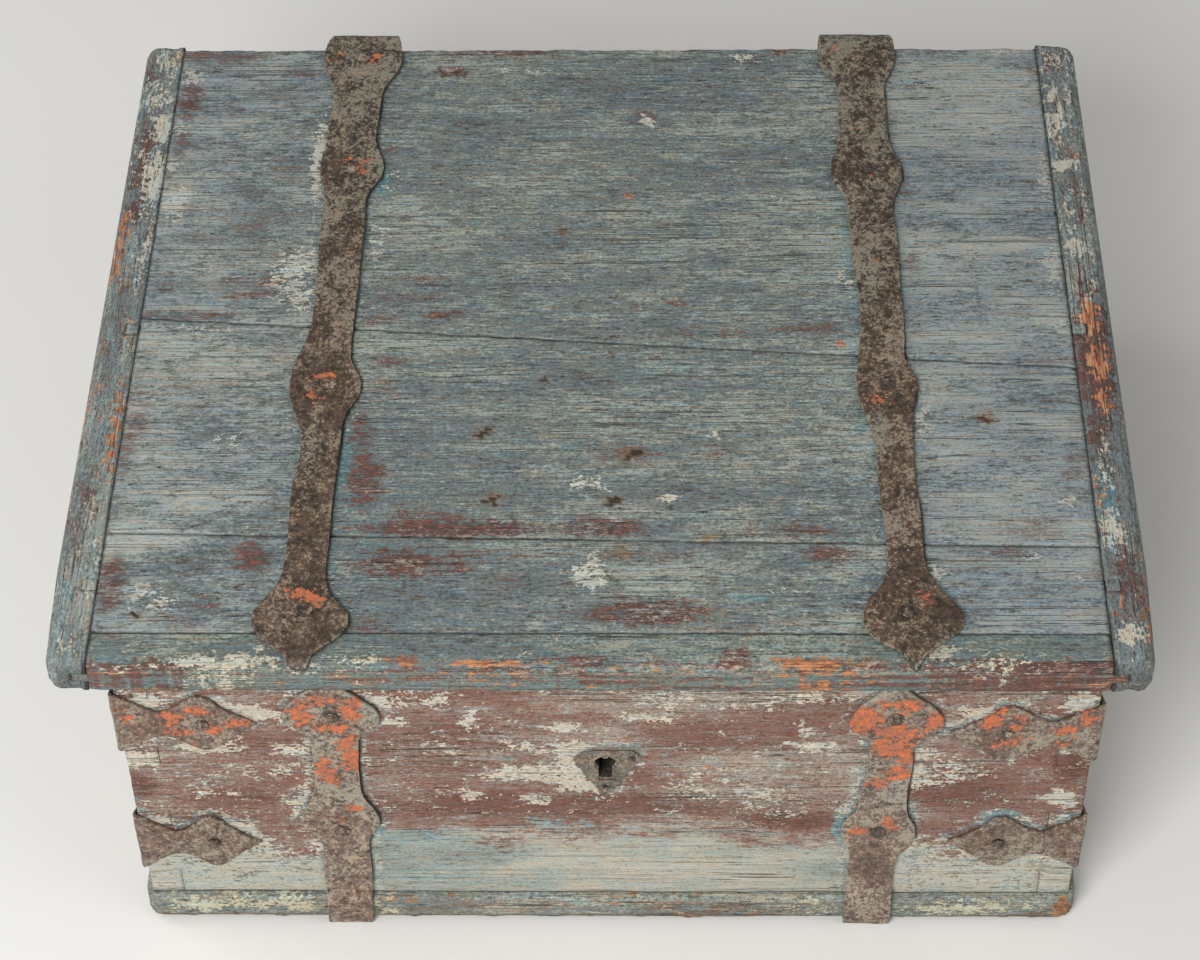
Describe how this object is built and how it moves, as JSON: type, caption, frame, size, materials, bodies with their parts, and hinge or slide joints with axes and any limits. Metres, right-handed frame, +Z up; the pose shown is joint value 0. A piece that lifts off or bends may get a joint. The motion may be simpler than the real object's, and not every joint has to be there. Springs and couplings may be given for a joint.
{
  "type": "painted chest",
  "caption": "Low dovetailed wooden chest with a flat boarded lid on strap hinges, iron corner straps, a box lock and end handles.",
  "frame": {"origin": "bottom centre of the box that holds the closed chest, on the floor", "axes": "+X to the right along the front, +Y to the back, +Z up"},
  "size_m": [0.62, 0.5526, 0.2616],
  "materials": {
    "lid_wood": "worn blue-grey paint over red-brown on pine",
    "body_wood": "worn red-brown and cream paint on pine",
    "bottom_wood": "worn grey-blue paint on pine",
    "painted_iron": "rusty forged iron with remains of paint",
    "bare_iron": "dark rusty iron"
  },
  "bodies": {
    "chest": {"front_board": "body_wood", "back_board": "body_wood", "left_side_board": "body_wood", "right_side_board": "body_wood", "bottom_board_front": "bottom_wood", "bottom_board_middle": "bottom_wood", "bottom_board_back": "bottom_wood", "front_strap_left": "painted_iron", "front_strap_right": "painted_iron", "back_strap_left": "painted_iron", "back_strap_right": "painted_iron", "hinge_pin_left": "bare_iron", "hinge_pin_right": "bare_iron", "corner_strap_front_left_upper": "painted_iron", "corner_strap_front_left_lower": "painted_iron", "corner_strap_front_right_upper": "painted_iron", "corner_strap_front_right_lower": "painted_iron", "corner_strap_back_left_upper": "painted_iron", "corner_strap_back_left_lower": "painted_iron", "corner_strap_back_right_upper": "painted_iron", "corner_strap_back_right_lower": "painted_iron", "escutcheon": "painted_iron", "lock_plate": "bare_iron", "lock_case": "bare_iron", "lock_ward": "bare_iron", "lock_spring": "bare_iron", "drill_pin": "bare_iron", "front_strap_nails": "painted_iron", "back_strap_nails": "painted_iron", "corner_strap_nails": "painted_iron", "escutcheon_nails": "painted_iron", "lock_nails": "bare_iron", "bottom_nails": "painted_iron", "handle_plates": "painted_iron", "handle_eyes": "painted_iron"},
    "lid": {"lid_board_back": "lid_wood", "lid_board_middle": "lid_wood", "lid_board_front": "lid_wood", "lid_nosing": "lid_wood", "lid_cleat_left": "lid_wood", "lid_cleat_right": "lid_wood", "lid_cleat_pegs": "lid_wood", "lid_strap_left": "painted_iron", "lid_strap_right": "painted_iron", "lid_strap_nails": "painted_iron", "lock_staple": "bare_iron", "staple_nails": "bare_iron"},
    "lock_bolt": {"lock_bolt": "bare_iron"},
    "handle_left": {"handle_bail_left": "painted_iron"},
    "handle_right": {"handle_bail_right": "painted_iron"}
  },
  "joints": [
    {"name": "lid_hinge", "type": "hinge", "parent": "chest", "child": "lid", "pos_m": [0, 0.26588, 0.24845], "axis": [-1, 0, 0], "range_deg": [0, 105]},
    {"name": "bolt_slide", "type": "slide", "parent": "chest", "child": "lock_bolt", "axis": [1, 0, 0], "range_m": [0, 0.013]},
    {"name": "handle_left_swing", "type": "hinge", "parent": "chest", "child": "handle_left", "pos_m": [-0.2864, -0.00157, 0.15], "axis": [0, 1, 0], "range_deg": [0, 160]},
    {"name": "handle_right_swing", "type": "hinge", "parent": "chest", "child": "handle_right", "pos_m": [0.2938, -0.00157, 0.15], "axis": [0, -1, 0], "range_deg": [0, 160]}
  ]
}
